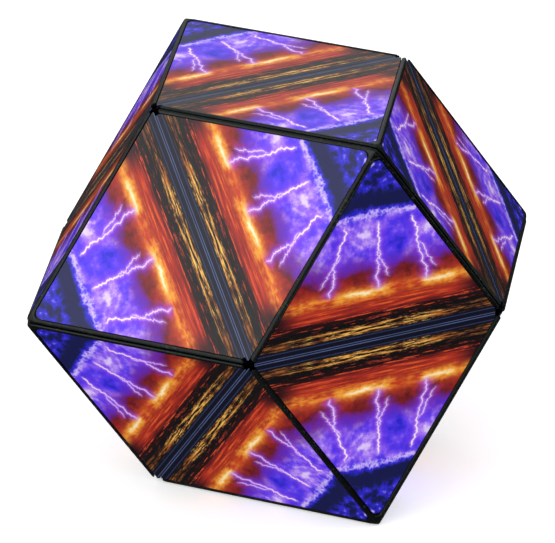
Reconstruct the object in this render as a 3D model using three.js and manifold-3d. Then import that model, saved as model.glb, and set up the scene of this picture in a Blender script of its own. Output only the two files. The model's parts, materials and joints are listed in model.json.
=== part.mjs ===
// Magnetic folding puzzle: twelve hollow tetrahedral modules in one closed ring, each hinged to the
// next by the printed film that runs across their common edge. Folded one way the ring is a hollow
// rhombic dodecahedron, which is how it stands here; folded the other way it is a solid cube.
// Millimetres, +Z up, +X along the longest extent, origin at the middle of the face it rests on.
import * as THREE from "three";
import { ConvexGeometry } from "three/addons/geometries/ConvexGeometry.js";
import { mergeVertices } from "three/addons/utils/BufferGeometryUtils.js";
import Module from "manifold-3d";

// Driving dimensions.
const CUBE_EDGE = 57; // edge of the folded cube, and length of every hinge
const SURFACE_INSET = 0.15; // each module's surface lies this far inside its ideal planes
const WALL = 2; // moulded wall, measured in from the module's surface
const RIDGE_BORDER = 0.75; // raised border along the edge between a module's two hinged faces
const SEAM_BORDER = 1.2; // raised border along the edges where a module meets its neighbours
const MATING_BORDER = 1.6; // border round the print on the face that meets a neighbour
const FILM_THICKNESS = 0.3;
const FILM_DEPTH = 0.1; // how far the film's surface lies below the border
const GLUE_GAP = 0.2; // adhesive under the film and round it
const PRINT_RECESS = 0.3; // shallow seat for a print on the base and on the mating face
const CAP_THICKNESS = 1.6;
const CAP_CLEARANCE = 0.2;
const HINGE_RELIEF = 0.35; // from the hinge line to the film's edge
const RIGHT_CORNER_NOTCH = 1.1; // radius cut away where a module's two hinges meet
const ACUTE_CORNER_NOTCH = 2.0; // radius cut away at the far end of each hinge
const APEX_RADIUS = 1.3; // rounding of a film's tip
const EDGE_RADIUS = 0.3; // rounding of a module's edges
const TIP_RADIUS = 0.5; // rounding of a module's apex
const TIP_SHOULDER = 1.7; // from the apex down each edge to where the apex starts to round off
const MAGNET_RADIUS = 4.5;
const MAGNET_THICKNESS = 2;
const MAGNET_GAP = 0.3; // between a magnet and the wall that it pulls through
const CARRIER_ARM_RADIUS = 1.4;
const CARRIER_HUB_RADIUS = 2.8;
const CAP_POST_RADIUS = 2.2;

// How finely round shapes are divided.
const MAGNET_SIDES = 18;
const ROD_SIDES = 6;
const CORNER_STEPS = 4;
const BALL_DETAIL = 1;

const MODULE_COUNT = 12;
const BEYOND = 4; // how far a cutting solid reaches past the surface it opens
const MERGE_DISTANCE = 1e-4; // vertices closer than this are one

const wasm = await Module();
wasm.setup();

// ---- Solids: three.js geometry to manifold-3d and back ----

function bareGeometry(geometry) {
  const bare = geometry.clone();
  bare.deleteAttribute("normal");
  bare.deleteAttribute("uv");
  return bare;
}

function solidOf(geometry) {
  const merged = mergeVertices(bareGeometry(geometry), MERGE_DISTANCE);
  const vertProperties = new Float32Array(merged.attributes.position.array);
  const triVerts = new Uint32Array(merged.index.array);
  return new wasm.Manifold(new wasm.Mesh({ numProp: 3, vertProperties, triVerts }));
}

function geometryOf(solid) {
  const mesh = solid.getMesh();
  const indexed = new THREE.BufferGeometry();
  indexed.setAttribute("position", new THREE.BufferAttribute(mesh.vertProperties, mesh.numProp));
  indexed.setIndex(new THREE.BufferAttribute(mesh.triVerts, 1));
  const flat = indexed.toNonIndexed();
  flat.computeVertexNormals();
  return flat;
}

// ---- One module, in its own axes ----
// The right-angled corner of the base is the origin. The two hinges run along +X and +Y, and the
// apex stands half a cube edge above the middle of the base's long side.

const ORIGIN = new THREE.Vector3();
const X_CORNER = new THREE.Vector3(CUBE_EDGE, 0, 0);
const Y_CORNER = new THREE.Vector3(0, CUBE_EDGE, 0);
const APEX = new THREE.Vector3(1, 1, 1).multiplyScalar(CUBE_EDGE / 2);
const CORNERS = [ORIGIN, X_CORNER, Y_CORNER, APEX];
const SLANT_DISTANCE = CUBE_EDGE / Math.SQRT2; // from a base corner to the slanted face opposite
const APEX_HEIGHT = CUBE_EDGE / 2;

// A face of the module as a flat drawing board: u along its lower edge, v up the face, n outwards,
// with the widths of the borders on its sloping sides, at its start and at its end, if it has any.
function faceBoard(start, end, outward, borders) {
  const u = end.clone().sub(start).normalize();
  const n = outward.clone().normalize();
  const v = n.clone().cross(u);
  return { start, u, v, n, borders, length: start.distanceTo(end), centre: new THREE.Vector3() };
}

const X_OUTWARD = new THREE.Vector3(0, -1, 1);
const Y_OUTWARD = new THREE.Vector3(-1, 0, 1);
const MATING_OUTWARD = new THREE.Vector3(1, 1, 0);
const BASE_OUTWARD = new THREE.Vector3(0, 0, -1);
const X_FACE = faceBoard(ORIGIN, X_CORNER, X_OUTWARD, [RIDGE_BORDER, SEAM_BORDER]);
const Y_FACE = faceBoard(Y_CORNER, ORIGIN, Y_OUTWARD, [SEAM_BORDER, RIDGE_BORDER]);
const MATING_FACE = faceBoard(X_CORNER, Y_CORNER, MATING_OUTWARD, [MATING_BORDER, MATING_BORDER]);
const BASE_FACE = faceBoard(Y_CORNER, X_CORNER, BASE_OUTWARD, []);
X_FACE.centre.add(ORIGIN).add(X_CORNER).add(APEX).divideScalar(3);
Y_FACE.centre.add(ORIGIN).add(Y_CORNER).add(APEX).divideScalar(3);
MATING_FACE.centre.add(X_CORNER).add(Y_CORNER).add(APEX).divideScalar(3);
const FACE_HEIGHT = SLANT_DISTANCE; // of a hinged face, from its hinge to the apex
const MATING_FACE_HEIGHT = CUBE_EDGE / 2;

// The module's four corners after its slanted faces and its base are moved inwards.
function insetCorners(slanted, base) {
  const shares = [slanted, slanted, slanted, base].map(
    (inset, i) => inset / (i < 3 ? SLANT_DISTANCE : APEX_HEIGHT),
  );
  const total = shares.reduce((sum, share) => sum + share, 0);
  return CORNERS.map((corner, i) => {
    const point = corner.clone().multiplyScalar(1 - total + shares[i]);
    CORNERS.forEach((other, j) => {
      if (j !== i) point.addScaledVector(other, shares[j]);
    });
    return point;
  });
}

function tetrahedron(slanted, base) {
  return solidOf(new ConvexGeometry(insetCorners(slanted, base)));
}

const FACE_NORMALS = [X_FACE, Y_FACE, MATING_FACE, BASE_FACE].map((face) => face.n);

// Points on a ball, with the points where it would touch planes that face the module's four ways.
function ballPoints(centre, radius) {
  const ball = new THREE.IcosahedronGeometry(radius, BALL_DETAIL);
  const positions = mergeVertices(bareGeometry(ball), MERGE_DISTANCE).attributes.position;
  const onBall = Array.from({ length: positions.count }, (_, i) =>
    new THREE.Vector3().fromBufferAttribute(positions, i),
  );
  const touching = FACE_NORMALS.map((normal) => normal.clone().multiplyScalar(radius));
  return [...onBall, ...touching].map((point) => point.add(centre));
}

// The module's outer block, with rounded edges and a blunter apex: the hull of a ball in each corner.
function roundedBlock() {
  const corners = insetCorners(SURFACE_INSET + EDGE_RADIUS, SURFACE_INSET + EDGE_RADIUS);
  const apex = corners.pop();
  const shoulders = corners.map((corner) => {
    const down = corner.clone().sub(apex).normalize();
    return apex.clone().addScaledVector(down, TIP_SHOULDER);
  });
  const tip = insetCorners(SURFACE_INSET + TIP_RADIUS, SURFACE_INSET + EDGE_RADIUS).pop();
  const points = [...corners, ...shoulders].flatMap((centre) => ballPoints(centre, EDGE_RADIUS));
  return solidOf(new ConvexGeometry([...points, ...ballPoints(tip, TIP_RADIUS)]));
}

// A closed outline through the points, each corner rounded by its own radius.
function roundedOutline(points, radii) {
  const shape = new THREE.Shape();
  points.forEach((point, i) => {
    const before = points[(i + points.length - 1) % points.length].clone().sub(point).normalize();
    const after = points[(i + 1) % points.length].clone().sub(point).normalize();
    const halfAngle = Math.acos(THREE.MathUtils.clamp(before.dot(after), -1, 1)) / 2;
    const setback = radii[i] / Math.tan(halfAngle);
    const arcStart = point.clone().addScaledVector(before, setback);
    const arcEnd = point.clone().addScaledVector(after, setback);
    if (i === 0) shape.moveTo(arcStart.x, arcStart.y);
    else shape.lineTo(arcStart.x, arcStart.y);
    if (radii[i] > 0) shape.quadraticCurveTo(point.x, point.y, arcEnd.x, arcEnd.y);
  });
  shape.closePath();
  return shape;
}

// A face's triangle, moved in from its two sloping sides by their borders and a further gap, and from
// its lower edge.
function triangleOnBoard(face, height, gap, lowerInset) {
  const slope = height / (face.length / 2);
  const [startRun, endRun] = face.borders.map((border) => (border + gap) * Math.hypot(1, 1 / slope));
  const lowerShift = lowerInset / slope;
  const apexRun = (face.length + startRun - endRun) / 2; // all runs are along the lower edge
  return [
    new THREE.Vector2(startRun + lowerShift, lowerInset),
    new THREE.Vector2(face.length - endRun - lowerShift, lowerInset),
    new THREE.Vector2(apexRun, (apexRun - startRun) * slope),
  ];
}

// A plate drawn on a face's board, between two depths below the module's ideal plane.
function plateOnFace(face, outline, lowerDepth, upperDepth) {
  const plate = new THREE.ExtrudeGeometry(outline, {
    depth: lowerDepth - upperDepth,
    bevelEnabled: false,
    curveSegments: CORNER_STEPS,
  });
  const place = new THREE.Matrix4().makeBasis(face.u, face.v, face.n);
  place.setPosition(face.start.clone().addScaledVector(face.n, -lowerDepth));
  return plate.applyMatrix4(place);
}

const FILM_TOP = SURFACE_INSET + FILM_DEPTH;
const FILM_BOTTOM = FILM_TOP + FILM_THICKNESS;
const FILM_SEAT = FILM_BOTTOM + GLUE_GAP;
const PRINT_SEAT = SURFACE_INSET + PRINT_RECESS;

function hingedFaceRecess(face) {
  const points = triangleOnBoard(face, FACE_HEIGHT, 0, -BEYOND);
  const outline = roundedOutline(points, [0, 0, APEX_RADIUS + GLUE_GAP]);
  return solidOf(plateOnFace(face, outline, FILM_SEAT, -BEYOND));
}

function matingFaceRecess() {
  const points = triangleOnBoard(MATING_FACE, MATING_FACE_HEIGHT, 0, MATING_BORDER);
  const outline = roundedOutline(points, [APEX_RADIUS, APEX_RADIUS, APEX_RADIUS]);
  return solidOf(plateOnFace(MATING_FACE, outline, PRINT_SEAT, -BEYOND));
}

// The base's print reaches over both hinges, so its seat is open there and bordered on the long side.
function baseRecess() {
  const reach = CUBE_EDGE / 2 + BEYOND;
  const middle = BASE_FACE.length / 2;
  const outline = roundedOutline(
    [
      new THREE.Vector2(middle - 2 * reach, SEAM_BORDER),
      new THREE.Vector2(middle + 2 * reach, SEAM_BORDER),
      new THREE.Vector2(middle, 2 * reach + SEAM_BORDER),
    ],
    [0, 0, 0],
  );
  return solidOf(plateOnFace(BASE_FACE, outline, PRINT_SEAT, -BEYOND));
}

function cornerNotch(corner, radius) {
  const ball = new THREE.IcosahedronGeometry(radius, 1);
  return solidOf(ball.translate(corner.x, corner.y, corner.z));
}

// The moulded shell: a tetrahedral cup, open at the base, seated for the films and prints.
function makeShell() {
  const cavity = tetrahedron(SURFACE_INSET + WALL, -BEYOND);
  const cuts = [
    cavity,
    hingedFaceRecess(X_FACE),
    hingedFaceRecess(Y_FACE),
    matingFaceRecess(),
    baseRecess(),
    cornerNotch(ORIGIN, RIGHT_CORNER_NOTCH),
    cornerNotch(X_CORNER, ACUTE_CORNER_NOTCH),
    cornerNotch(Y_CORNER, ACUTE_CORNER_NOTCH),
  ];
  return geometryOf(cuts.reduce((solid, cut) => solid.subtract(cut), roundedBlock()));
}

// Centres of the magnets, one behind the middle of each slanted face.
const MAGNET_DEPTH = SURFACE_INSET + WALL + MAGNET_GAP + MAGNET_THICKNESS / 2;
const MAGNET_FACES = [X_FACE, Y_FACE, MATING_FACE];
const MAGNET_CENTRES = MAGNET_FACES.map((face) =>
  face.centre.clone().addScaledVector(face.n, -MAGNET_DEPTH),
);
const HUB = MAGNET_CENTRES.reduce((sum, centre) => sum.add(centre), new THREE.Vector3());
HUB.divideScalar(MAGNET_CENTRES.length);

// A cylinder between two points.
function rod(from, to, radius, sides) {
  const along = to.clone().sub(from);
  const geometry = new THREE.CylinderGeometry(radius, radius, along.length(), sides);
  const turn = new THREE.Quaternion();
  turn.setFromUnitVectors(new THREE.Vector3(0, 1, 0), along.clone().normalize());
  geometry.applyQuaternion(turn);
  const middle = from.clone().add(to).divideScalar(2);
  return solidOf(geometry.translate(middle.x, middle.y, middle.z));
}

// Three disc magnets on the arms of the spider that holds them behind the walls.
function makeMagnetCarrier() {
  const ball = new THREE.IcosahedronGeometry(CARRIER_HUB_RADIUS);
  let carrier = solidOf(ball.translate(HUB.x, HUB.y, HUB.z));
  MAGNET_FACES.forEach((face, i) => {
    const centre = MAGNET_CENTRES[i];
    const inner = centre.clone().addScaledVector(face.n, -MAGNET_THICKNESS / 2);
    const outer = centre.clone().addScaledVector(face.n, MAGNET_THICKNESS / 2);
    carrier = carrier
      .add(rod(inner, outer, MAGNET_RADIUS, MAGNET_SIDES))
      .add(rod(HUB, centre, CARRIER_ARM_RADIUS, ROD_SIDES));
  });
  return geometryOf(carrier);
}

// The cap that closes the base, a wedge-edged plate with a post that steadies the magnet carrier.
function makeBaseCap() {
  const slanted = SURFACE_INSET + WALL + CAP_CLEARANCE;
  const capInside = PRINT_SEAT + CAP_THICKNESS;
  const lower = insetCorners(slanted, PRINT_SEAT).slice(0, 3);
  const upper = insetCorners(slanted, capInside).slice(0, 3);
  const plate = solidOf(new ConvexGeometry([...lower, ...upper]));
  const postFoot = new THREE.Vector3(HUB.x, HUB.y, capInside - CAP_THICKNESS / 2);
  const postTop = new THREE.Vector3(HUB.x, HUB.y, HUB.z - CARRIER_HUB_RADIUS - MAGNET_GAP);
  return geometryOf(plate.add(rod(postFoot, postTop, CAP_POST_RADIUS, ROD_SIDES)));
}

// The half of a printed hinge film that covers this module's side of the hinge.
function makeFilm(face, cornerRadii) {
  const points = triangleOnBoard(face, FACE_HEIGHT, GLUE_GAP, HINGE_RELIEF);
  const outline = roundedOutline(points, [...cornerRadii, APEX_RADIUS]);
  return plateOnFace(face, outline, FILM_BOTTOM, FILM_TOP);
}

const shellGeometry = makeShell();
const baseCapGeometry = makeBaseCap();
const magnetCarrierGeometry = makeMagnetCarrier();
const xFilmGeometry = makeFilm(X_FACE, [RIGHT_CORNER_NOTCH, ACUTE_CORNER_NOTCH]);
const yFilmGeometry = makeFilm(Y_FACE, [ACUTE_CORNER_NOTCH, RIGHT_CORNER_NOTCH]);

// ---- Materials ----

const MATERIALS = {
  shell: { color: 0x121316, roughness: 0.42, metalness: 0 },
  baseCap: { color: 0x18191d, roughness: 0.5, metalness: 0 },
  magnetCarrier: { color: 0xb9bcc2, roughness: 0.3, metalness: 1 },
  film: { color: 0x5a2aa8, roughness: 0.25, metalness: 0 },
};

function addPart(module, name, geometry, look) {
  const mesh = new THREE.Mesh(geometry, new THREE.MeshStandardMaterial(look));
  mesh.name = name;
  module.add(mesh);
}

// ---- The ring ----
// Every hinge lies on an edge of the hollow cube. Six of the cube's corners, its belt, each hold the
// right-angled corners of two modules, and the hinges run from them to the next belt corner and to
// one of the two poles in turn. Between neighbouring belt corners one coordinate changes sign.

function beltCorners() {
  const signs = new THREE.Vector3(-1, 1, 1);
  return ["y", "z", "x", "y", "z", "x"].map((axis) => {
    const corner = signs.clone().multiplyScalar(CUBE_EDGE / 2);
    signs[axis] = -signs[axis];
    return corner;
  });
}

const BELT = beltCorners();
const POLES = [
  new THREE.Vector3(-1, 1, -1).multiplyScalar(CUBE_EDGE / 2),
  new THREE.Vector3(1, -1, 1).multiplyScalar(CUBE_EDGE / 2),
];

// The cube corners of a module: its right-angled corner, and the far ends of its two hinges.
function moduleCorners(number) {
  const step = Math.floor(number / 2);
  const corner = BELT[step % BELT.length];
  const pole = POLES[step % POLES.length];
  if (number % 2 === 1) {
    return { corner, previous: pole, next: BELT[(step + 1) % BELT.length] };
  }
  return { corner, previous: BELT[(step + BELT.length - 1) % BELT.length], next: pole };
}

function makeModule(number) {
  const { corner, previous, next } = moduleCorners(number);
  const towardsPrevious = previous.clone().sub(corner).normalize();
  const towardsNext = next.clone().sub(corner).normalize();
  const outward = previous.clone().add(next).normalize();
  const rightHanded = towardsPrevious.clone().cross(towardsNext).dot(outward) > 0;
  const [xAxis, yAxis] = rightHanded
    ? [towardsPrevious, towardsNext]
    : [towardsNext, towardsPrevious];
  const [xName, yName] = rightHanded ? ["prev", "next"] : ["next", "prev"];

  const module = new THREE.Group();
  module.applyMatrix4(new THREE.Matrix4().makeBasis(xAxis, yAxis, outward).setPosition(corner));
  const label = String(number).padStart(2, "0");
  addPart(module, `shell_${label}`, shellGeometry, MATERIALS.shell);
  addPart(module, `base_cap_${label}`, baseCapGeometry, MATERIALS.baseCap);
  addPart(module, `magnet_carrier_${label}`, magnetCarrierGeometry, MATERIALS.magnetCarrier);
  addPart(module, `film_${label}_${xName}`, xFilmGeometry, MATERIALS.film);
  addPart(module, `film_${label}_${yName}`, yFilmGeometry, MATERIALS.film);
  return module;
}

// The hollow cube stands on one of its edges, so that a face of the dodecahedron lies flat.
const puzzle = new THREE.Group();
puzzle.name = "folding_puzzle";
puzzle.rotation.x = Math.PI / 4;
puzzle.position.z = CUBE_EDGE / Math.SQRT2 - SURFACE_INSET;
for (let number = 1; number <= MODULE_COUNT; number += 1) puzzle.add(makeModule(number));

const model = new THREE.Group();
model.add(puzzle);

export default model;
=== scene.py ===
"""Looks for the magnetic folding puzzle: a ring of twelve black modules under printed hinge films.

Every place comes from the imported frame: the joints give the hinges, and the hinges give the
modules' corners. Lengths are in millimetres where a name ends in _MM or a comment says so, and in
metres everywhere else.
"""

import json
import math

import bmesh
import bpy
from mathutils import Matrix, Vector, noise


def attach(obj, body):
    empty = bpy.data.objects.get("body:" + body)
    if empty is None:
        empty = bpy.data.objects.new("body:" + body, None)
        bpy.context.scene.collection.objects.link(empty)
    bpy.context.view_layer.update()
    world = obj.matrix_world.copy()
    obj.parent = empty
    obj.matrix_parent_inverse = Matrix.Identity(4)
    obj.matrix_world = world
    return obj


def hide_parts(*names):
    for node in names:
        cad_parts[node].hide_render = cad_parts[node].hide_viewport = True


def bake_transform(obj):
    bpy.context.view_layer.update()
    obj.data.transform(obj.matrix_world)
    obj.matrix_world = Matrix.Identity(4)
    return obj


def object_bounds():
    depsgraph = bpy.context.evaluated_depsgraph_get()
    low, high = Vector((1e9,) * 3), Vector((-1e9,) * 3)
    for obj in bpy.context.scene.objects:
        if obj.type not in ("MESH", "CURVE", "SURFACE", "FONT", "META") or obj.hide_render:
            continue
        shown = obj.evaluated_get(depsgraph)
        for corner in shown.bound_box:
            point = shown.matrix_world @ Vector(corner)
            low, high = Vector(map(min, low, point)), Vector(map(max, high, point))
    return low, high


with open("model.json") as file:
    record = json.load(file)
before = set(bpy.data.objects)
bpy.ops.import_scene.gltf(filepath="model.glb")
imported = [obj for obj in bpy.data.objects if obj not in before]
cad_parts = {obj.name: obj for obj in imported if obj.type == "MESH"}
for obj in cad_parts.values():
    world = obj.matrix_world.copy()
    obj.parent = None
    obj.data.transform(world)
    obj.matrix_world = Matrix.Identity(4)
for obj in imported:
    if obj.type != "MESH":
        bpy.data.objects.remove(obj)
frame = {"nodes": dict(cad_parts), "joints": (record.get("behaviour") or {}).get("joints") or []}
CAD_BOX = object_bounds()

MM = 0.001

# ---- The puzzle's geometry, from the frame ----

CENTRE = (CAD_BOX[0] + CAD_BOX[1]) / 2
MODULE_COUNT = 12
LEADER = "hinge_06_07"
JOINT_NAMES = {joint["name"] for joint in frame["joints"]}


def joint_place(name):
    joint = next(j for j in frame["joints"] if j["name"] == name)
    return Vector(joint["pos_m"]), Vector(joint["axis"]).normalized()


CUBE_EDGE = (joint_place(LEADER)[0] - CENTRE).length * math.sqrt(2)
FACE_HEIGHT = CUBE_EDGE / math.sqrt(2)  # of a hinged face, from its hinge to the apex


def preceding(number):
    return (number - 2) % MODULE_COUNT + 1


def following(number):
    return number % MODULE_COUNT + 1


def hinge(number):
    """Middle and direction of the hinge from this module to the next one in the ring.

    The open pivot has no joint. It is straight across the puzzle from the leading hinge.
    """
    name = f"hinge_{number:02d}_{following(number):02d}"
    if name in JOINT_NAMES:
        return joint_place(name)
    middle, axis = joint_place(LEADER)
    return 2 * CENTRE - middle, axis


def module_corners(number):
    """The module's right-angled corner, the far ends of its two hinges, and its apex."""
    ends = []
    for middle, axis in (hinge(preceding(number)), hinge(number)):
        ends.append([middle + axis * side * CUBE_EDGE / 2 for side in (-1, 1)])
    corner = min(ends[0], key=lambda p: min((p - q).length for q in ends[1]))
    far = [max(pair, key=lambda p: (p - corner).length) for pair in ends]
    outward = (far[0] - corner).cross(far[1] - corner).normalized()
    if outward.dot(corner - CENTRE) < 0:
        outward = -outward
    apex = (far[0] + far[1]) / 2 + outward * CUBE_EDGE / 2
    return corner, far[0], far[1], apex


# ---- Node trees written as arithmetic ----


class Signal:
    """A number running through a node tree, with Python's arithmetic."""

    def __init__(self, tree, socket):
        self.tree = tree
        self.socket = socket

    def math(self, operation, *others):
        node = self.tree.nodes.new("ShaderNodeMath")
        node.operation = operation
        for socket, value in zip(node.inputs, (self, *others)):
            feed(socket, value)
        return Signal(self.tree, node.outputs[0])

    def __add__(self, other):
        return self.math("ADD", other)

    def __sub__(self, other):
        return self.math("SUBTRACT", other)

    def __mul__(self, other):
        return self.math("MULTIPLY", other)

    def __truediv__(self, other):
        return self.math("DIVIDE", other)

    def __abs__(self):
        return self.math("ABSOLUTE")


def feed(socket, value):
    """Links a signal to a socket, or sets the socket to a plain value."""
    if isinstance(value, Signal):
        value.tree.links.new(value.socket, socket)
    else:
        socket.default_value = value


def step(signal, start, end):
    """A smooth step from 0 at start to 1 at end. End may be below start."""
    node = signal.tree.nodes.new("ShaderNodeMapRange")
    node.interpolation_type = "SMOOTHSTEP"
    feed(node.inputs["Value"], signal)
    feed(node.inputs["From Min"], start)
    feed(node.inputs["From Max"], end)
    return Signal(signal.tree, node.outputs["Result"])


def band(signal, low, high, soft):
    """1 between low and high, fading to 0 over soft on each side."""
    return step(signal, low - soft, low + soft) * step(signal, high + soft, high - soft)


def hill(signal, centre, width):
    """A bell curve, 1 at centre."""
    off = (signal - centre) / width
    return (off * off * -1.0).math("EXPONENT")


def noise_signal(tree, place, scale, detail, roughness):
    """Fractal noise about 0 at the place that the socket gives."""
    texture = tree.nodes.new("ShaderNodeTexNoise")
    texture.inputs["Scale"].default_value = scale
    texture.inputs["Detail"].default_value = detail
    texture.inputs["Roughness"].default_value = roughness
    tree.links.new(place, texture.inputs["Vector"])
    return Signal(tree, texture.outputs["Fac"]) - 0.5


def ruffle(across, rise, scale, detail, seed, roughness=0.55):
    """Noise on a drawing board in millimetres. Scale is (across, rise), per millimetre."""
    tree = across.tree
    place = tree.nodes.new("ShaderNodeCombineXYZ")
    feed(place.inputs[0], across * scale[0])
    feed(place.inputs[1], rise * scale[1])
    feed(place.inputs[2], seed)
    return noise_signal(tree, place.outputs[0], 1.0, detail, roughness)


def linear(colour):
    """An sRGB hex colour as the linear RGBA that nodes use."""
    channels = [int(colour[i : i + 2], 16) / 255 for i in (1, 3, 5)]
    curved = [c / 12.92 if c <= 0.04045 else ((c + 0.055) / 1.055) ** 2.4 for c in channels]
    return (*curved, 1.0)


class Paint:
    """A colour built up in layers."""

    def __init__(self, tree, colour):
        self.tree = tree
        self.socket = None
        self.colour = linear(colour)

    def layer(self, mask, colour):
        node = self.tree.nodes.new("ShaderNodeMix")
        node.data_type = "RGBA"
        node.clamp_factor = True
        feed(node.inputs[0], mask)
        if self.socket is None:
            node.inputs[6].default_value = self.colour
        else:
            self.tree.links.new(self.socket, node.inputs[6])
        node.inputs[7].default_value = linear(colour)
        self.socket = node.outputs[2]


def new_material(name):
    """An empty material with a Principled shader."""
    material = bpy.data.materials.new(name)
    material.use_nodes = True
    return material, material.node_tree, material.node_tree.nodes["Principled BSDF"]


def add_object(name, data):
    """A new object in the scene."""
    thing = bpy.data.objects.new(name, data)
    bpy.context.scene.collection.objects.link(thing)
    return thing


def add_bump(tree, shader, height, distance, strength):
    """Bumps the surface by a height signal, over this distance."""
    node = tree.nodes.new("ShaderNodeBump")
    node.inputs["Distance"].default_value = distance
    node.inputs["Strength"].default_value = strength
    feed(node.inputs["Height"], height)
    tree.links.new(node.outputs[0], shader.inputs["Normal"])


# ---- The print: a generic storm, with bands of colour along the hinge and cloud beyond them ----

# On each vertex: millimetres along the hinge from its middle, millimetres away from the hinge, and
# 1 where the outer bolts are printed.
PRINT_PLACE = "print_place"

# Heights above the hinge.
HORIZON_MM = 10.2  # the burning line
SHORE_MM = 14.8  # where embers give way to cloud
CLOUD_TOP_MM = 26.8
BOLT_TOP_MM = 24.3
FORK_MM = 18.5  # where each bolt forks

BOLT_SPACING_MM = 11.0
BOLT_WIDTH_MM = 0.15
BOLT_LEAN = 0.25  # of the outer bolts, in towards the tip
BOLT_WANDER_MM = 6.0
FORK_SLOPE = 0.42
FORK_WIDTH_MM = 0.09
FORK_STRENGTH = 0.7


class Board:
    """A place on the print, in millimetres: along the hinge from its middle, and up from it."""

    def __init__(self, across, rise):
        self.across = across
        self.spread = abs(across)
        self.rise = rise
        self.rag = self.ruffle((0.9, 0.9), 8, 2.0, 0.65)
        self.mass = self.ruffle((0.12, 0.14), 5, 4.0, 0.52)

    def ruffle(self, scale, detail, seed, roughness=0.55):
        return ruffle(self.across, self.rise, scale, detail, seed, roughness)


def hinge_bands(paint, board):
    """From the hinge line up: navy with two thin lines, gold, black, then red and orange."""
    streak = board.ruffle((0.11, 2.0), 7, 21.0, 0.66)
    spray = board.ruffle((0.34, 3.2), 6, 22.0, 0.7)
    swell = board.ruffle((0.07, 0.10), 3, 23.0)
    level = board.rise + board.rag * 1.1 + swell * 1.5
    inner = step(board.spread, 19.0, 9.0)
    ends = step(board.spread, 16.0, 22.0)

    # Red and orange streaks, dark at the ends of the hinge.
    paint.layer(band(level, 4.0, 9.9, 0.7), "#84120a")
    paint.layer(band(level, 6.2, 9.6, 0.8) * step(streak, -0.12, 0.10), "#bc280a")
    orange = band(level, 6.9, 9.4, 0.6) * step(streak, 0.02, 0.14)
    paint.layer(orange * (inner * 0.9 + 0.05), "#f4701a")
    paint.layer(band(level, 8.0, 9.6, 0.4) * step(streak, 0.08, 0.20) * inner, "#ff9a2c")
    paint.layer(ends * band(level, 4.0, 10.0, 1.0), "#340812")

    # Black, with a few sparks.
    paint.layer(step(board.rise + streak * 2.4, 6.4, 5.4), "#260a0e")
    paint.layer(band(level, 4.4, 6.8, 0.4) * step(streak + spray * 0.4, 0.05, 0.12), "#d8481c")
    paint.layer(step(level, 5.0, 4.4), "#120d12")
    sparks = band(level, 3.3, 5.0, 0.4) * step(spray, 0.06, 0.14)
    paint.layer(sparks * (inner * 0.7 + 0.1), "#b8381a")

    # Gold.
    gold = band(level, 1.75, 3.5, 0.4)
    fading = inner * 0.6 + 0.4
    glints = step(spray + streak * 0.4, -0.02, 0.12)
    paint.layer(gold * step(streak + spray * 0.6, -0.06, 0.10) * fading, "#a85818")
    paint.layer(gold * step(streak * 0.7 + spray, 0.03, 0.14) * fading, "#d88624")
    paint.layer(gold * step(swell, -0.04, 0.08) * glints, "#ffd060")

    # Navy, with its lines.
    paint.layer(step(board.rise + board.rag * 0.5, 1.9, 1.5), "#0a0d26")
    for height, width, colour in ((0.22, 0.08, "#6678b0"), (1.28, 0.09, "#3c4a7c")):
        paint.layer(hill(board.rise, height, width) * (streak + 0.6), colour)


def sky(paint, board):
    """Violet and lavender cloud, over embers with dark blue gaps."""
    billow = board.ruffle((0.36, 0.34), 7, 8.0, 0.58)
    wisp = board.ruffle((0.70, 0.55), 7, 7.0, 0.60)
    cover = board.mass * 1.3 + billow * 0.8
    cloud = band(board.rise + board.mass * 6.0, 15.5, 28.5, 2.0)
    paint.layer(cloud, "#4a26ee")
    paint.layer(cloud * step(cover, -0.14, 0.02), "#7446f6")
    paint.layer(cloud * step(cover + wisp * 0.3, -0.04, 0.12), "#a878fb")
    paint.layer(cloud * step(cover + wisp * 0.4, 0.06, 0.26), "#e4ccff")
    paint.layer(cloud * step(cover, -0.14, -0.30), "#1a0ed0")

    shore = board.mass * 9.0 + SHORE_MM
    haze = step(board.rise + board.rag * 1.6, shore + 4.6, shore + 0.6)
    paint.layer(haze * 0.9, "#6a14a8")
    land = step(board.rise + board.rag * 2.0, shore + 1.7, shore - 1.2)
    paint.layer(land, "#6c0a18")
    paint.layer(land * step(billow + wisp * 0.6, -0.02, 0.16) * 0.9, "#9c1216")
    paint.layer(land * step(board.rag + wisp, 0.04, 0.16) * 0.6, "#40050e")
    paint.layer(land * step(board.rise, 15.0, 10.5) * step(billow, -0.14, 0.06) * 0.8, "#b0280c")


def horizon(paint, board):
    """The burning line, brighter and dimmer along its length."""
    puff = board.ruffle((0.26, 0.85), 7, 31.0, 0.64)
    flare = board.ruffle((0.10, 0.02), 3, 33.0)
    level = board.rise + board.rag * 1.4 + puff * 1.6
    reach = step(board.spread, 24.0, 16.0)
    bright = flare + puff * 0.5
    for width, mask, colour in (
        (1.6, 0.8, "#c83a0a"),
        (1.0, step(puff + flare, -0.20, 0.06), "#f0861c"),
        (0.8, step(bright, -0.08, 0.12), "#ffbe34"),
        (0.35, step(bright, 0.02, 0.16), "#fff0c8"),
    ):
        paint.layer(hill(level, HORIZON_MM, width) * reach * mask, colour)


def cloud_edge(paint, board):
    """The ragged top of the cloud, and the dark sky above it."""
    fray = board.ruffle((1.2, 0.9), 8, 36.0, 0.7)
    level = board.rise + board.rag * 2.2 + fray * 1.6 + board.mass * 7.0
    rim = band(level, CLOUD_TOP_MM - 1.2, CLOUD_TOP_MM, 0.45) * step(fray, -0.10, 0.08)
    paint.layer(rim * 0.8, "#e0ccff")
    paint.layer(step(level, CLOUD_TOP_MM - 0.2, CLOUD_TOP_MM + 0.2), "#1c14d2")
    paint.layer(step(level, CLOUD_TOP_MM + 0.1, CLOUD_TOP_MM + 1.2), "#0c1250")


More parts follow.
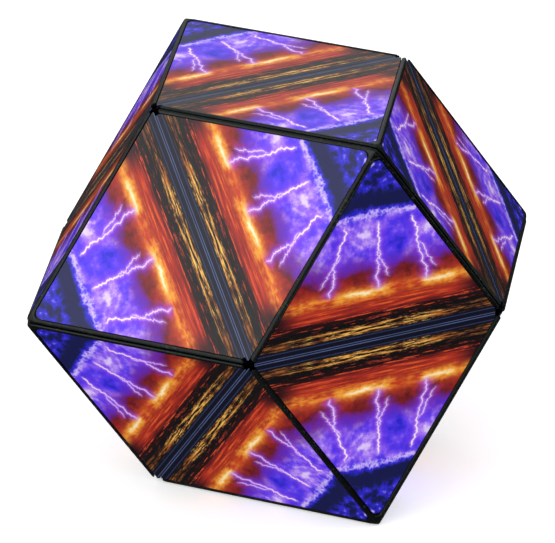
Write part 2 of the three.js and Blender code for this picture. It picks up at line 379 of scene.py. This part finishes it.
def far_clouds(paint, board):
    """Broken cloud towards the tip of the face."""
    puff = board.ruffle((0.42, 0.40), 6, 44.0, 0.56)
    level = board.rise + board.rag * 2.0
    paint.layer(step(level, 30.0, 31.6) * step(puff, -0.08, 0.06), "#1a12c8")
    paint.layer(step(level, 30.6, 33.0) * step(puff, 0.04, 0.14), "#6a50ea")
    paint.layer(step(level, 32.0, 35.5) * step(puff, 0.07, 0.17), "#dccaff")


def bolt(paint, board, centre, heights, width, seed, strength):
    """One strand of lightning along the given line, thinner towards its foot, with its glow."""
    foot, top = heights
    wander = ruffle(board.across * 0.0, board.rise, (0.0, 0.20), 8, seed, 0.66)
    off = abs(board.across - centre - wander * BOLT_WANDER_MM)
    here = band(board.rise, foot, top, 0.7) * strength
    half_width = step(board.rise, foot - 6.0, top) * width
    paint.layer(here * hill(off, 0.0, 1.3) * 0.5, "#8a30f2")
    paint.layer(here * hill(off, 0.0, 0.42) * 0.7, "#dca4ff")
    paint.layer(here * step(off - half_width, 0.06, -0.04), "#fbeeff")


def lightning(paint, board, outer):
    """Three forked bolts, evenly spaced along the hinge. The outer two lean in to the tip."""
    main_heights = (HORIZON_MM + 0.5, BOLT_TOP_MM)
    fork_heights = (HORIZON_MM + 2.8, FORK_MM)
    for i, fork_side, strength in ((-1, -1, outer), (0, -1, 1.0), (1, 1, outer)):
        seed = 50.0 + i * 3.0
        line = (board.rise - HORIZON_MM) * (-BOLT_LEAN * i) + i * BOLT_SPACING_MM
        fork = line + (board.rise - FORK_MM) * (-FORK_SLOPE * fork_side)
        bolt(paint, board, line, main_heights, BOLT_WIDTH_MM, seed, strength)
        fork_strength = strength * FORK_STRENGTH
        bolt(paint, board, fork, fork_heights, FORK_WIDTH_MM, seed + 20.0, fork_strength)


def storm_print(name):
    """The glossy printed film, painted with the storm."""
    material, tree, shader = new_material(name)
    place = tree.nodes.new("ShaderNodeAttribute")
    place.attribute_name = PRINT_PLACE
    split = tree.nodes.new("ShaderNodeSeparateXYZ")
    tree.links.new(place.outputs["Vector"], split.inputs[0])
    across = Signal(tree, split.outputs[0])
    rise = abs(Signal(tree, split.outputs[1]))

    board = Board(across, rise)
    paint = Paint(tree, "#2a18dc")
    sky(paint, board)
    hinge_bands(paint, board)
    horizon(paint, board)
    cloud_edge(paint, board)
    far_clouds(paint, board)
    lightning(paint, board, Signal(tree, split.outputs[2]))
    tree.links.new(paint.socket, shader.inputs["Base Color"])

    scuff = ruffle(across, rise, (0.35, 0.5), 5, 71.0)
    peel = ruffle(across, rise, (1.6, 1.6), 3, 72.0)
    feed(shader.inputs["Roughness"], scuff * 0.25 + 0.34)
    shader.inputs["Specular IOR Level"].default_value = 0.35
    shader.inputs["Coat Weight"].default_value = 0.25
    shader.inputs["Coat Roughness"].default_value = 0.18
    add_bump(tree, shader, peel, 0.03 * MM, 0.25)
    return material


# ---- Plastics and metal ----


def object_place(tree):
    """A socket with object coordinates in millimetres."""
    coordinates = tree.nodes.new("ShaderNodeTexCoord")
    scale = tree.nodes.new("ShaderNodeVectorMath")
    scale.operation = "SCALE"
    scale.inputs["Scale"].default_value = 1 / MM
    tree.links.new(coordinates.outputs["Object"], scale.inputs[0])
    return scale.outputs[0]


def moulded_plastic(name, body, wear_and_sheen, roughness):
    """Fine-grained black plastic with pale grey-green grain, partly its own tone and partly
    painted highlight, and paler where it has rubbed.
    """
    material, tree, shader = new_material(name)
    place = object_place(tree)
    pebble = noise_signal(tree, place, 1.9, 5, 0.72)
    drift = noise_signal(tree, place, 0.16, 5, 0.6)
    geometry = tree.nodes.new("ShaderNodeNewGeometry")
    edge = step(Signal(tree, geometry.outputs["Pointiness"]) + drift * 0.05, 0.52, 0.60)
    paint = Paint(tree, body)
    # Pale grey-green grain: partly the plastic's own grain tone and partly painted highlight,
    # standing in for light caught by the textured surface.
    paint.layer(step(pebble + drift * 0.4, 0.07, 0.20) * 0.6, wear_and_sheen)
    paint.layer(edge * 0.2, wear_and_sheen)
    tree.links.new(paint.socket, shader.inputs["Base Color"])
    feed(shader.inputs["Roughness"], pebble * 0.35 + drift * 0.2 + roughness)
    shader.inputs["Specular IOR Level"].default_value = 0.4
    add_bump(tree, shader, pebble, 0.09 * MM, 0.7)
    return material


def brushed_metal(name):
    """Bright plated steel with fine turned lines and a few dull spots."""
    material, tree, shader = new_material(name)
    place = object_place(tree)
    lines = noise_signal(tree, place, 6.0, 3, 0.6)
    spots = noise_signal(tree, place, 0.5, 4, 0.6)
    paint = Paint(tree, "#b4b7bd")
    paint.layer(step(spots, 0.05, 0.2) * 0.6, "#7d8087")
    paint.layer(step(lines, 0.0, 0.25) * 0.4, "#d8dade")
    tree.links.new(paint.socket, shader.inputs["Base Color"])
    shader.inputs["Metallic"].default_value = 1.0
    feed(shader.inputs["Roughness"], lines * 0.2 + spots * 0.2 + 0.32)
    add_bump(tree, shader, lines, 0.02 * MM, 0.3)
    return material


PRINT = storm_print("printed_film")
# The last colour is for rubbed edges and for the pale grain, which is partly painted highlight.
SHELL_PLASTIC = moulded_plastic("shell_plastic", "#040506", "#46554d", 0.34)
CAP_PLASTIC = moulded_plastic("cap_plastic", "#141518", "#34363a", 0.55)
MAGNET_METAL = brushed_metal("magnet_metal")

# ---- Printed pieces ----

# Depths are below a module's ideal planes. These are as in the CAD model, and the borders take in
# the glue gap beside the film.
FILM_TOP_MM = 0.25
FILM_THICKNESS_MM = 0.3
RIDGE_BORDER_MM = 0.95  # bare plastic beside an edge between hinged faces
SEAM_BORDER_MM = 1.4  # and beside an edge that meets the next module
APEX_RADIUS_MM = 1.3

# Cut from the film's corners, 0.4 mm further out than the CAD model's notches.
RIGHT_CORNER_NOTCH_MM = 1.5
ACUTE_CORNER_NOTCH_MM = 2.4

OPEN_HINGE_GAP_MM = 0.01  # from the open pivot to the films beside it
BEND_MM = 1.1  # each side of the hinge line, where the film flexes
CREASE_DEPTH_MM = 0.07
CREASE_WIDTH_MM = 0.32
WAVE_MM = 0.025  # how far the glued film is from truly flat
WAVE_LENGTH_MM = 9.0
PANEL_TOP_MM = 0.2
PANEL_THICKNESS_MM = 0.17
SAME_POINT_MM = 0.01
PRINT_SHARP_ANGLE = math.radians(40)

# How the film's mesh is divided.
FILM_COLUMNS = 30
BEND_ROW_MM = 0.18
FACE_ROWS = 16
TIP_ROWS = 10
TIP_ZONE_MM = 2.4  # below the film's tip, where the rows are close


def board_matrix(origin, along, outward):
    """Places a drawing board in millimetres: x along the hinge, y up the face, z outward."""
    matrix = Matrix.Identity(4)
    for i, column in enumerate((along, outward.cross(along), outward)):
        for j in range(3):
            matrix[j][i] = column[j] * MM
        matrix[i][3] = origin[i]
    return matrix


FACE_SLOPE = FACE_HEIGHT / (CUBE_EDGE / 2)
TIP_SINE = 1 / math.hypot(1, FACE_SLOPE)  # of half the angle at a hinged face's apex
RIGHT_END = (RIGHT_CORNER_NOTCH_MM, RIDGE_BORDER_MM)
ACUTE_END = (ACUTE_CORNER_NOTCH_MM, SEAM_BORDER_MM)
SHARP_TIP_MM = FACE_HEIGHT / MM - (RIDGE_BORDER_MM + SEAM_BORDER_MM) / 2 / TIP_SINE
TIP_CENTRE_MM = SHARP_TIP_MM - APEX_RADIUS_MM / TIP_SINE  # of the arc that rounds the film's tip


def film_span(rise, ends):
    """The film's left and right edges at this distance from the hinge.

    Ends are (notch, border) pairs.
    """
    runs = [border * math.hypot(1, 1 / FACE_SLOPE) for _, border in ends]
    lean = (runs[0] - runs[1]) / 2
    half = (SHARP_TIP_MM - rise) / FACE_SLOPE
    above = rise - TIP_CENTRE_MM
    if above > APEX_RADIUS_MM * TIP_SINE:
        half = math.sqrt(max(0.0, APEX_RADIUS_MM**2 - above**2))
    notches = [math.sqrt(max(0.0, notch**2 - rise**2)) for notch, _ in ends]
    limits = [CUBE_EDGE / 2 / MM - notch for notch in notches]
    return max(lean - half, -limits[0]), min(lean + half, limits[1])


def film_rises(start):
    """Distances of the film's rows from the hinge: close over the bend and round the tip."""
    rows = [start]
    while rows[-1] < ACUTE_CORNER_NOTCH_MM:
        rows.append(rows[-1] + BEND_ROW_MM)
    shoulder = TIP_CENTRE_MM + APEX_RADIUS_MM - TIP_ZONE_MM
    face = shoulder - rows[-1]
    rows += [rows[-1] + face * (i + 1) / FACE_ROWS for i in range(FACE_ROWS)]
    for i in range(TIP_ROWS):
        rows.append(shoulder + TIP_ZONE_MM * math.sin(math.pi / 2 * (i + 1) / TIP_ROWS))
    return rows


def wavy(x, y, seed):
    """The film's height at a point: a crease at the hinge, and gentle waves."""
    wave = noise.noise(Vector((x / WAVE_LENGTH_MM, y / WAVE_LENGTH_MM, seed)))
    crease = math.exp(-((y / CREASE_WIDTH_MM) ** 2))
    return WAVE_MM * (wave - 1) - CREASE_DEPTH_MM * crease


def sheet_mesh(name, rows, seed, top, thickness):
    """A thin solid sheet from equal rows of (x, y) points. Its top is at height -top."""
    mesh_data = bmesh.new()
    layers = []
    for drop in (0.0, thickness):
        grid = []
        for row in rows:
            points = [(x, y, wavy(x, y, seed) - top - drop) for x, y in row]
            grid.append([mesh_data.verts.new(p) for p in points])
        layers.append(grid)
    upper, lower = layers
    last_row, last_column = len(rows) - 1, len(rows[0]) - 1
    for i in range(last_row):
        for j in range(last_column):
            corners = ((i, j), (i, j + 1), (i + 1, j + 1), (i + 1, j))
            mesh_data.faces.new([upper[r][c] for r, c in corners])
            mesh_data.faces.new([lower[r][c] for r, c in reversed(corners)])
    rim = [(0, j) for j in range(last_column)]
    rim += [(i, last_column) for i in range(last_row)]
    rim += [(last_row, j) for j in range(last_column, 0, -1)]
    rim += [(i, 0) for i in range(last_row, 0, -1)]
    for (r, c), (s, d) in zip(rim, rim[1:] + rim[:1]):
        mesh_data.faces.new([upper[s][d], upper[r][c], lower[r][c], lower[s][d]])
    bmesh.ops.remove_doubles(mesh_data, verts=mesh_data.verts, dist=SAME_POINT_MM)
    bmesh.ops.recalc_face_normals(mesh_data, faces=mesh_data.faces)
    mesh = bpy.data.meshes.new(name)
    mesh_data.to_mesh(mesh)
    mesh_data.free()
    return mesh


def finish_print(name, mesh, matrix, place_of, outer_bolts=1.0):
    """Writes the print's places on the sheet, puts it where it belongs and paints it."""
    places = mesh.attributes.new(PRINT_PLACE, "FLOAT_VECTOR", "POINT")
    for vertex, place in zip(mesh.vertices, places.data):
        place.vector = (*place_of(vertex.co), outer_bolts)
    mesh.transform(matrix)
    for polygon in mesh.polygons:
        polygon.use_smooth = True
    mesh.set_sharp_from_angle(angle=PRINT_SHARP_ANGLE)
    mesh.materials.append(PRINT)
    piece = add_object(name, mesh)
    return piece


def film_ends(number, left_end):
    """The notches and borders at the left and right ends of this module's half of a film."""
    corner = module_corners(number)[0]
    if (corner - left_end).length < CUBE_EDGE / 2:
        return RIGHT_END, ACUTE_END
    return ACUTE_END, RIGHT_END


def film_row(rise, side, ends):
    """One row of film points across the face. Side is 1 up the board, -1 down it."""
    left, right = film_span(rise, ends)
    width = right - left
    return [(left + width * j / FILM_COLUMNS, rise * side) for j in range(FILM_COLUMNS + 1)]


def flat_place(point):
    return point.x, point.y


def make_film(number):
    """The film over the hinge between this module and the next. At the open pivot, each module
    carries its own half.
    """
    other = following(number)
    middle, axis = hinge(number)
    outward = (middle - CENTRE).normalized()
    up = outward.cross(axis)
    if up.dot(module_corners(other)[3] - middle) < 0:
        axis = -axis
        up = -up
    matrix = board_matrix(middle, axis, outward)
    left_end = middle - axis * CUBE_EDGE / 2
    sides = {-1: (number, film_ends(number, left_end)), 1: (other, film_ends(other, left_end))}
    label = f"{number:02d}_{other:02d}"
    nodes = {-1: f"film_{number:02d}_next", 1: f"film_{other:02d}_prev"}
    if f"hinge_{label}" in JOINT_NAMES:
        rises = film_rises(0.0)
        rows = [film_row(r, -1, sides[-1][1]) for r in reversed(rises[1:])]
        rows += [film_row(r, 1, sides[1][1]) for r in rises]
        name = f"hinge_film_{label}"
        mesh = sheet_mesh(name, rows, number, FILM_TOP_MM, FILM_THICKNESS_MM)
        piece = finish_print(name, mesh, matrix, flat_place)
        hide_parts(nodes[-1], nodes[1])
        bend = up * BEND_MM * MM
        middle - bend
        middle + bend
        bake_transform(piece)
        return
    for side, (module, ends) in sides.items():
        rows = [film_row(r, side, ends) for r in film_rises(OPEN_HINGE_GAP_MM)]
        name = f"open_film_{module:02d}"
        mesh = sheet_mesh(name, rows[::side], number, FILM_TOP_MM, FILM_THICKNESS_MM)
        piece = finish_print(name, mesh, matrix, flat_place)
        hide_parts(nodes[side])
        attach(piece, f"module_{module:02d}")


for module_number in range(1, MODULE_COUNT + 1):
    make_film(module_number)


# ---- Prints on the base and mating faces ----

BASE_HINGE_BORDER_MM = 1.55
BASE_LONG_BORDER_MM = 1.4
BASE_CORNER_CUT_MM = 2.5
MATING_BORDER_MM = 1.9
MATING_TIP_CUT = 0.12  # share of the mating print that is cut off its tip
MATING_END_CUT_MM = 2.6  # cut off each of its sharp ends
PANEL_STEPS = 24
BASE_WAVE_SEED = 20  # these two keep the panels' waves apart from the films'
MATING_WAVE_SEED = 40


def mating_rows(half_length, height):
    """Rows up the mating print, a low triangle with its three corners cut off."""
    rows = []
    for i in range(PANEL_STEPS + 1):
        share = (1 - MATING_TIP_CUT) * i / PANEL_STEPS
        half = min(half_length * (1 - share), half_length - MATING_END_CUT_MM)
        level = MATING_BORDER_MM + height * share
        rows.append([(half * (2 * j / PANEL_STEPS - 1), level) for j in range(PANEL_STEPS + 1)])
    return rows


def base_rows(far):
    """Rows across the base's right-angled corner. Their middle points lie on its diagonal."""
    border = BASE_HINGE_BORDER_MM
    first = border + BASE_CORNER_CUT_MM
    rows = []
    for i in range(PANEL_STEPS + 1):
        reach = first + (far - first) * i / PANEL_STEPS
        left, right = Vector((reach, border)), Vector((border, reach))
        rows.append([tuple(left.lerp(right, j / PANEL_STEPS)) for j in range(PANEL_STEPS + 1)])
    return rows


def make_base_print(number):
    """The print on a module's base. Its pattern follows both hinges and meets on the diagonal."""
    corner, previous, onward, _ = module_corners(number)
    x_axis = (previous - corner).normalized()
    y_axis = (onward - corner).normalized()
    inward = (CENTRE - corner).project(x_axis.cross(y_axis)).normalized()
    if x_axis.cross(y_axis).dot(inward) < 0:
        x_axis, y_axis = y_axis, x_axis
    edge = CUBE_EDGE / MM
    far = edge - BASE_HINGE_BORDER_MM - BASE_LONG_BORDER_MM * math.sqrt(2)
    name = f"base_print_{number:02d}"
    seed = number + BASE_WAVE_SEED
    mesh = sheet_mesh(name, base_rows(far), seed, PANEL_TOP_MM, PANEL_THICKNESS_MM)
    matrix = board_matrix(corner, x_axis, inward)

    def nearer_hinge(point):
        return max(point.x, point.y) - edge / 2, min(point.x, point.y)

    piece = finish_print(name, mesh, matrix, nearer_hinge, outer_bolts=0.0)
    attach(piece, f"module_{number:02d}")


def make_mating_print(number):
    """The print on the face where a module meets the one beside it."""
    corner, previous, onward, apex = module_corners(number)
    along = (onward - previous).normalized()
    middle = (previous + onward) / 2
    outward = (middle - corner).normalized()
    if outward.cross(along).dot(apex - middle) < 0:
        along = -along
    long_side = CUBE_EDGE * math.sqrt(2) / MM
    slope = 1 / math.sqrt(2)
    half_length = long_side / 2 - MATING_BORDER_MM * (math.hypot(1, 1 / slope) + 1 / slope)
    rows = mating_rows(half_length, half_length * slope)
    name = f"mating_print_{number:02d}"
    seed = number + MATING_WAVE_SEED
    mesh = sheet_mesh(name, rows, seed, PANEL_TOP_MM, PANEL_THICKNESS_MM)
    matrix = board_matrix(middle, along, outward)

    def squeezed(point):
        return point.x * (CUBE_EDGE / MM / long_side), point.y

    piece = finish_print(name, mesh, matrix, squeezed)
    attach(piece, f"module_{number:02d}")


for module_number in range(1, MODULE_COUNT + 1):
    make_base_print(module_number)
    make_mating_print(module_number)


# ---- Shells, from the CAD shape with its edges eased ----

FLAT_ANGLE = math.radians(0.6)
SHARP_ANGLE = math.radians(38)
EASED_EDGE_MM = 0.07
SAME_SHELL_POINT_MM = 0.002


def make_shell(number):
    """The moulded shell with a small round on every sharp edge."""
    node = frame["nodes"][f"shell_{number:02d}"]
    work = bmesh.new()
    work.from_mesh(node.data)
    bmesh.ops.remove_doubles(work, verts=work.verts, dist=SAME_SHELL_POINT_MM * MM)
    bmesh.ops.dissolve_limit(work, angle_limit=FLAT_ANGLE, verts=work.verts, edges=work.edges)
    shared = [e for e in work.edges if len(e.link_faces) == 2]
    sharp = [e for e in shared if e.calc_face_angle() > SHARP_ANGLE]
    bmesh.ops.bevel(
        work,
        geom=sharp,
        offset=EASED_EDGE_MM * MM,
        offset_type="OFFSET",
        segments=2,
        profile=0.5,
        affect="EDGES",
        clamp_overlap=True,
    )
    mesh = bpy.data.meshes.new(f"moulded_shell_{number:02d}")
    work.to_mesh(mesh)
    work.free()
    for polygon in mesh.polygons:
        polygon.use_smooth = True
    mesh.set_sharp_from_angle(angle=SHARP_ANGLE)
    mesh.materials.append(SHELL_PLASTIC)
    piece = add_object(mesh.name, mesh)
    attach(piece, f"module_{number:02d}")
    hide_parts(node.name)


# ---- The CAD nodes that stay ----


def finish_node(name, material):
    """Gives a CAD node its material, in every slot that it has."""
    node = frame["nodes"][name]
    if not node.material_slots:
        node.data.materials.append(None)
    for slot in node.material_slots:
        slot.material = material


for module_number in range(1, MODULE_COUNT + 1):
    make_shell(module_number)
    finish_node(f"base_cap_{module_number:02d}", CAP_PLASTIC)
    finish_node(f"magnet_carrier_{module_number:02d}", MAGNET_METAL)

# ---- Stage, lights and camera ----

VIEW_AZIMUTH = math.radians(-28.03)
VIEW_ELEVATION = math.radians(22.83)
VIEW_ROLL = math.radians(-0.3)
CAMERA_DISTANCE = 25.552 * CUBE_EDGE
# How far the object's centre is right of the camera's axis and above it.
CAMERA_AIM = (0.01178 * CUBE_EDGE, 0.01054 * CUBE_EDGE)
LENS_MM = 476.0
SENSOR_MM = 36
CLIP_RANGE = (0.05, 20)
SOFT_FILL = 0.86  # radiance of the studio's walls, as they light matt surfaces
GLOSSY_FILL = 0.05  # and as they show in glossy ones
FLOOR_HALF_WIDTH = 4.0
FLOOR_GREY = 0.8
FLOOR_GLOW = 0.5  # lifts the floor to a pale tone
FLOOR_GAP_MM = 0.03  # keeps the floor from lying in the same plane as the resting face


def make_floor():
    """A plain pale floor, which throws no light back on the object."""
    mesh = bpy.data.meshes.new("floor")
    half = FLOOR_HALF_WIDTH
    level = CAD_BOX[0].z - FLOOR_GAP_MM * MM
    square = ((-half, -half), (half, -half), (half, half), (-half, half))
    mesh.from_pydata([(x, y, level) for x, y in square], [], [(0, 1, 2, 3)])
    floor = add_object("floor", mesh)
    material, _, shader = new_material("pale_floor")
    shader.inputs["Base Color"].default_value = (FLOOR_GREY, FLOOR_GREY, FLOOR_GREY, 1)
    shader.inputs["Roughness"].default_value = 0.9
    shader.inputs["Specular IOR Level"].default_value = 0.1
    shader.inputs["Emission Color"].default_value = (1, 1, 1, 1)
    shader.inputs["Emission Strength"].default_value = FLOOR_GLOW
    floor.data.materials.append(material)
    floor.visible_glossy = False
    floor.visible_diffuse = False


def aim(thing, target):
    direction = target - thing.location
    thing.rotation_mode = "QUATERNION"
    thing.rotation_quaternion = direction.to_track_quat("-Z", "Y")


def soft_box(name, direction, distance, size, radiance, glossy=True):
    """A round soft light of this radiance, seen only in what it lights and in reflections."""
    data = bpy.data.lights.new(name, "AREA")
    data.shape = "DISK"
    data.size = size
    data.energy = radiance * math.pi * math.pi * (size / 2) ** 2
    light = add_object(name, data)
    light.location = CENTRE + Vector(direction).normalized() * distance
    aim(light, CENTRE)
    light.visible_camera = False
    light.visible_glossy = glossy


def make_world():
    """An even studio: white to the camera, softly bright as fill, and dim in reflections."""
    world = bpy.data.worlds.new("studio")
    bpy.context.scene.world = world
    world.use_nodes = True
    tree = world.node_tree
    background = tree.nodes["Background"]
    background.inputs["Color"].default_value = (1, 1, 1, 1)
    path = tree.nodes.new("ShaderNodeLightPath")
    camera_ray = Signal(tree, path.outputs["Is Camera Ray"])
    glossy_ray = Signal(tree, path.outputs["Is Glossy Ray"])
    fill = glossy_ray * (GLOSSY_FILL - SOFT_FILL) + SOFT_FILL
    feed(background.inputs["Strength"], fill + camera_ray * (1.0 - SOFT_FILL))


def make_camera():
    """A long lens at the photo's angle. The view directions are from the object to the camera."""
    data = bpy.data.cameras.new("camera")
    data.lens = LENS_MM
    data.sensor_width = SENSOR_MM
    data.clip_start, data.clip_end = CLIP_RANGE
    camera = add_object("camera", data)
    level = math.cos(VIEW_ELEVATION)
    sideways, backwards = math.sin(VIEW_AZIMUTH) * level, -math.cos(VIEW_AZIMUTH) * level
    back = Vector((sideways, backwards, math.sin(VIEW_ELEVATION)))
    turn = (-back).to_track_quat("-Z", "Y")
    matrix = turn.to_matrix() @ Matrix.Rotation(VIEW_ROLL, 3, "Z")
    right, up = matrix.col[0], matrix.col[1]
    aim_right, aim_up = CAMERA_AIM
    camera.location = CENTRE + back * CAMERA_DISTANCE - right * aim_right - up * aim_up
    camera.rotation_mode = "QUATERNION"
    camera.rotation_quaternion = matrix.to_quaternion()
    bpy.context.scene.camera = camera


make_floor()
make_camera()
make_world()
soft_box("left_box", (-0.85, -0.10, 0.52), distance=1.2, size=1.3, radiance=1.25)
soft_box("back_card", (0.43, 0.81, 0.39), distance=1.4, size=1.4, radiance=0.5)
soft_box("top_fill", (-0.1, -0.5, 0.85), distance=1.2, size=0.9, radiance=0.9, glossy=False)

bpy.context.scene.view_settings.view_transform = "Standard"
